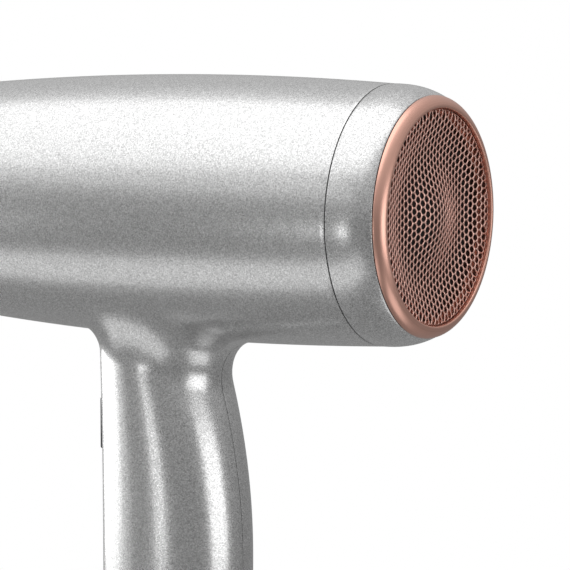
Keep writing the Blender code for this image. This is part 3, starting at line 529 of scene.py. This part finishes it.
def makeInletMesh():
    # a honeycomb of hexagons, their middles taken out and the web given thickness, then dished
    radius = highInlet.y
    pitch = inletMesh["pitch"]
    across = pitch / math.sqrt(3)
    bm = bmesh.new()
    columns = round(radius / (1.5 * across)) + 1
    rows = round(radius / pitch) + 1
    for column in range(-columns, columns + 1):
        for row in range(-rows, rows + 1):
            y = column * 1.5 * across
            z = (row + (column % 2) / 2) * pitch
            if math.hypot(y, z) > radius - 0.15 * pitch:
                continue
            spot = Matrix.Translation((0, y, axisHeight + z)) @ Matrix.Rotation(math.pi / 2, 4, "Y")
            bmesh.ops.create_circle(bm, cap_ends=True, radius=across, segments=6, matrix=spot)
    bmesh.ops.remove_doubles(bm, verts=bm.verts[:], dist=pitch * 0.05)
    for vert in bm.verts:
        away = Vector((0, vert.co.y, vert.co.z - axisHeight))
        if away.length > radius or vert.is_boundary:
            away *= radius / away.length
            vert.co = Vector((0, away.y, axisHeight + away.z))
    middles = bm.faces[:]
    bmesh.ops.inset_individual(bm, faces=middles, thickness=inletMesh["wire"], depth=0, use_even_offset=True)
    bmesh.ops.delete(bm, geom=middles, context="FACES")
    bmesh.ops.recalc_face_normals(bm, faces=bm.faces[:])
    if sum(face.normal.x for face in bm.faces) < 0:
        bmesh.ops.reverse_faces(bm, faces=bm.faces[:])
    valley = radius * inletMesh["valleyShare"]
    for vert in bm.verts:
        r = math.hypot(vert.co.y, vert.co.z - axisHeight)
        if r < valley:
            rise = inletMesh["dome"] * (1 + math.cos(math.pi * r / valley)) / 2
        else:
            rise = inletMesh["lip"] * (1 - math.cos(math.pi * (r - valley) / (radius - valley))) / 2
        vert.co.x = lowRing.x + inletMesh["seat"] + inletMesh["valleyHeight"] + rise
    piece = finishPiece("inlet_mesh_wires", bm, meshCopper, "rear_cover", ["inlet_mesh"], 180,
                        False)
    solidify = piece.modifiers.new("wire", "SOLIDIFY")
    solidify.thickness = inletMesh["thickness"]
    solidify.offset = -1
    rounded = piece.modifiers.new("round", "SUBSURF")
    rounded.levels = rounded.render_levels = 1
    applyModifiers(piece)
    print("inlet mesh made with", len(piece.data.polygons), "faces")


makeInletMesh()

outlet = {"rim": 0.0012, "step": 0.0008, "mouth": 0.0256, "mouthRound": 0.0006}
grille = {"rimWidth": 0.0014, "rings": ((0.70, 0.74), (0.44, 0.48)), "hub": 0.2, "ringRound": 0.0002, "bars": 6,
          "barHalfWidth": 0.0005, "barSetback": 0.0002, "barRound": 0.0001}


def makeOutlet():
    lip = highOutlet.x
    front = lowOutlet.x
    lipX = barrel["frontX"] - gap
    mouth = outlet["mouth"]
    sleeve = barrelRadius(lipX) - barrel["wall"] - gap
    points = [(lipX, sleeve), (lipX, barrelRadius(lipX))]
    points += [(x, barrelRadius(x)) for x in spread(lipX - outlet["step"], front + outlet["rim"], 8)]
    points += roundCorner(points[-1], (front, barrelRadius(front)), (front, mouth), outlet["rim"], 6)[1:]
    points += roundCorner((front, sleeve), (front, mouth), (lip, mouth), outlet["mouthRound"], 5)
    points += [(lip, mouth), (lip, sleeve)]
    return finishPiece("outlet_trim", turnProfile(points), darkPlastic, "dryer",
                       ["outlet_ring"])


def makeGrille():
    low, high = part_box("outlet_grille")
    radius = high.y
    bm = bmesh.new()
    spans = [(radius - grille["rimWidth"], radius)]
    spans += [(radius * inner, radius * outer) for inner, outer in grille["rings"]]
    spans.append((0.0, radius * grille["hub"]))
    for start, end in spans:
        if start:
            corners = [(low.x, start), (low.x, end), (high.x, end), (high.x, start)]
            points = softProfile(corners, grille["ringRound"], 3)
        else:
            points = [(high.x, 0), (high.x, end), (low.x, end), (low.x, 0)]
        turned = turnProfile(points, closed=bool(start), steps=96)
        mesh = bpy.data.meshes.new("part")
        turned.to_mesh(mesh)
        bm.from_mesh(mesh)
        turned.free()
    wide, setback = grille["barHalfWidth"], grille["barSetback"]
    for i in range(grille["bars"]):
        before = set(bm.verts)
        addBlock(bm, (low.x + setback, -wide, radius * 0.1), (high.x - setback, wide, radius - wide),
                 grille["barRound"], 2)
        bar = [vert for vert in bm.verts if vert not in before]
        turn = Matrix.Rotation(tau * (i + 0.5) / grille["bars"], 3, "X")
        bmesh.ops.rotate(bm, verts=bar, cent=(0, 0, 0), matrix=turn)
        bmesh.ops.translate(bm, verts=bar, vec=(0, 0, axisHeight))
    return finishPiece("outlet_grille_bars", bm, darkPlastic, "dryer", ["outlet_grille"])


makeOutlet()
makeGrille()


def makeControls():
    low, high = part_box("cool_shot_button")
    bm = bmesh.new()
    half = controls["buttonHalfWidth"]
    addBlock(bm, (controls["buttonFront"], -half, controls["buttonLow"]),
             (high.x - 0.003, half, controls["buttonHigh"]), controls["softEdge"], 5)
    addBlock(bm, (controls["flangeFront"], low.y, low.z), (controls["buttonFlangeBack"], high.y, high.z),
             0.0003, 2)
    finishPiece("cool_shot_key", bm, darkPlastic, "cool_shot_button", ["cool_shot_button"], 60)
    for node, name in (("speed_slider", "speed_knob"), ("heat_slider", "heat_knob")):
        low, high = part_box(node)
        bm = bmesh.new()
        middle = (low.z + high.z) / 2
        half = controls["knobHeight"] / 2
        wide = controls["sliderHalfWidth"]
        addBlock(bm, (low.x, -wide, middle - half), (high.x - 0.0005, wide, middle + half),
                 controls["softEdge"], 3)
        ridge = controls["ridgeHalfHeight"]
        for i in range(-2, 3):
            z = middle + i * controls["ridgePitch"]
            addBlock(bm, (low.x, -wide * 0.75, z - ridge),
                     (low.x + controls["ridgeDepth"], wide * 0.75, z + ridge), 0.0001, 2)
        addBlock(bm, (controls["flangeFront"], low.y, low.z), (controls["knobFlangeBack"], high.y, high.z),
                 0.0002, 2)
        finishPiece(name, bm, darkPlastic, node, [node], 60)
    print("outlet and controls made")


makeControls()

spring = {"turns": 4, "stepsPerTurn": 24, "wire": 0.0003, "radius": 0.0029, "travel": 0.0015}


def makeSpring():
    # a coil between the button's flange and the switch, made at one length
    low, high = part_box("button_spring")
    wire = spring["wire"]
    middle = (low.z + high.z) / 2
    steps = spring["turns"] * spring["stepsPerTurn"]
    length = high.x - low.x - 2 * wire
    bm = bmesh.new()
    start = Matrix.Translation((low.x + wire, 0, middle + spring["radius"]))
    start = start @ Matrix.Rotation(math.pi / 2, 4, "X")
    bmesh.ops.create_circle(bm, radius=wire, segments=10, matrix=start)
    bmesh.ops.spin(bm, geom=bm.verts[:] + bm.edges[:], cent=(0, 0, middle), axis=(1, 0, 0),
                   dvec=(length / steps, 0, 0), angle=tau * spring["turns"], steps=steps)
    bmesh.ops.holes_fill(bm, edges=[edge for edge in bm.edges if edge.is_boundary], sides=12)
    piece = finishPiece("button_return_spring", bm, finishes["steel"], "dryer", ["button_spring"])
    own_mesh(piece)


makeSpring()

for name, node in nodes.items():
    if node.hide_render:
        continue
    slotName = node.data.materials[0].name.split(".")[0]
    node.data.materials.clear()
    node.data.materials.append(finishes[slotName])
print("inner nodes finished")

floor = {"radius": 0.28, "colour": 0.82, "roughness": 0.9, "below": 0.0001}


def makeFloor():
    bm = bmesh.new()
    bmesh.ops.create_circle(bm, cap_ends=True, radius=floor["radius"], segments=96,
                            matrix=Matrix.Translation((0, 0, lowCap.z - floor["below"])))
    mesh = bpy.data.meshes.new("floor")
    bm.to_mesh(mesh)
    bm.free()
    piece = bpy.data.objects.new("floor", mesh)
    bpy.context.scene.collection.objects.link(piece)
    material, tree, shader = newMaterial("paleFloor")
    shader.inputs["Roughness"].default_value = floor["roughness"]
    shader.inputs["Base Color"].default_value = (floor["colour"],) * 3 + (1,)
    mesh.materials.append(material)
    piece.visible_glossy = False
    piece.visible_shadow = False


makeFloor()

view = {"sideways": 30.89, "upwards": 5.45, "shiftRight": 0.03377, "shiftDown": 0.02299, "lens": 218.99}


def makeCamera():
    sideways, upwards = math.radians(view["sideways"]), math.radians(view["upwards"])
    back = Vector((math.sin(sideways) * math.cos(upwards), -math.cos(sideways) * math.cos(upwards),
                   math.sin(upwards)))
    right = Vector((math.cos(sideways), math.sin(sideways), 0))
    up = back.cross(right)
    target = Vector((0, 0, axisHeight)) + right * view["shiftRight"] - up * view["shiftDown"]
    data = bpy.data.cameras.new("camera")
    data.lens = view["lens"]
    data.sensor_width = 36
    data.clip_start = 0.05
    camera = bpy.data.objects.new("camera", data)
    camera.matrix_world = Matrix.Translation(target + back) @ Matrix((right, up, back)).transposed().to_4x4()
    bpy.context.scene.collection.objects.link(camera)
    bpy.context.scene.camera = camera


makeCamera()

studio = {"aimDrop": 0.05,
          "stops": [(0.0, 0.30), (0.15, 0.34), (0.35, 0.28), (0.46, 0.30), (0.55, 0.38), (0.635, 0.56),
                    (0.71, 0.62), (0.80, 0.66), (0.90, 0.95), (1.0, 1.1)]}
softboxes = {  # sideways and height in degrees round the camera's direction, then size and brightness
    "overhead": {"centre": (-0.86, -0.52, 1.15), "size": (2.6, 1.76), "brightness": 1.15},
    "frontEdge": {"sideways": -62, "height": 25, "distance": 1.3, "size": (1.5, 0.34), "brightness": 0.42},
    "leftBackStrip": {"sideways": -119, "height": 2, "distance": 1.1, "size": (1.16, 0.60), "brightness": 3.0},
    "leftFront": {"sideways": -42, "height": -8, "distance": 1.3, "size": (0.34, 0.17), "brightness": 3.4},
    "leftEdge": {"sideways": -84, "height": -8, "distance": 1.2, "size": (0.34, 0.22), "brightness": 0.9},
    "rightStrip": {"sideways": 59, "height": -2, "distance": 1.2, "size": (0.80, 0.56), "brightness": 2.2},
    "lowerFront": {"sideways": -58, "height": -44, "distance": 1.0, "size": (1.5, 0.42), "brightness": 0.80},
    "lowerRear": {"sideways": 62, "height": -53, "distance": 1.0, "size": (0.6, 0.6), "brightness": 1.0},
}


def addSoftbox(name, box):
    aim = Vector((0, 0, axisHeight - studio["aimDrop"]))
    if "centre" in box:
        centre = Vector(box["centre"])
    else:
        sideways = math.radians(view["sideways"] + box["sideways"])
        height = math.radians(box["height"])
        away = Vector((math.sin(sideways) * math.cos(height), -math.cos(sideways) * math.cos(height),
                       math.sin(height)))
        centre = aim + away * box["distance"]
    data = bpy.data.lights.new(name, "AREA")
    data.shape = "RECTANGLE"
    data.size, data.size_y = box["size"]
    data.energy = box["brightness"] * math.pi * data.size * data.size_y
    light = bpy.data.objects.new(name, data)
    turn = Matrix.Identity(3) if "centre" in box else (centre - aim).to_track_quat("Z", "Y").to_matrix()
    light.matrix_world = Matrix.Translation(centre) @ turn.to_4x4()
    light.visible_camera = False
    bpy.context.scene.collection.objects.link(light)


def makeStudio():
    # the soft light all round, by height, and a white backdrop behind the object
    scene = bpy.context.scene
    scene.view_settings.view_transform = "Standard"
    world = bpy.data.worlds.new("studio")
    scene.world = world
    world.use_nodes = True
    tree = world.node_tree
    tree.nodes.clear()
    coords = tree.nodes.new("ShaderNodeTexCoord")
    apart = tree.nodes.new("ShaderNodeSeparateXYZ")
    tree.links.new(coords.outputs["Generated"], apart.inputs["Vector"])
    height = place(tree, "ShaderNodeMapRange")
    height.inputs["From Min"].default_value = -1
    tree.links.new(apart.outputs["Z"], height.inputs["Value"])
    light = tree.nodes.new("ShaderNodeBackground")
    tree.links.new(ramp(tree, height.outputs["Result"], studio["stops"]), light.inputs["Color"])
    backdrop = place(tree, "ShaderNodeBackground", Color=(1, 1, 1, 1))
    path = tree.nodes.new("ShaderNodeLightPath")
    mix = tree.nodes.new("ShaderNodeMixShader")
    tree.links.new(path.outputs["Is Camera Ray"], mix.inputs["Fac"])
    tree.links.new(light.outputs["Background"], mix.inputs[1])
    tree.links.new(backdrop.outputs["Background"], mix.inputs[2])
    output = tree.nodes.new("ShaderNodeOutputWorld")
    tree.links.new(mix.outputs["Shader"], output.inputs["Surface"])
    for name, box in softboxes.items():
        addSoftbox(name, box)


makeStudio()
print("camera and light set")
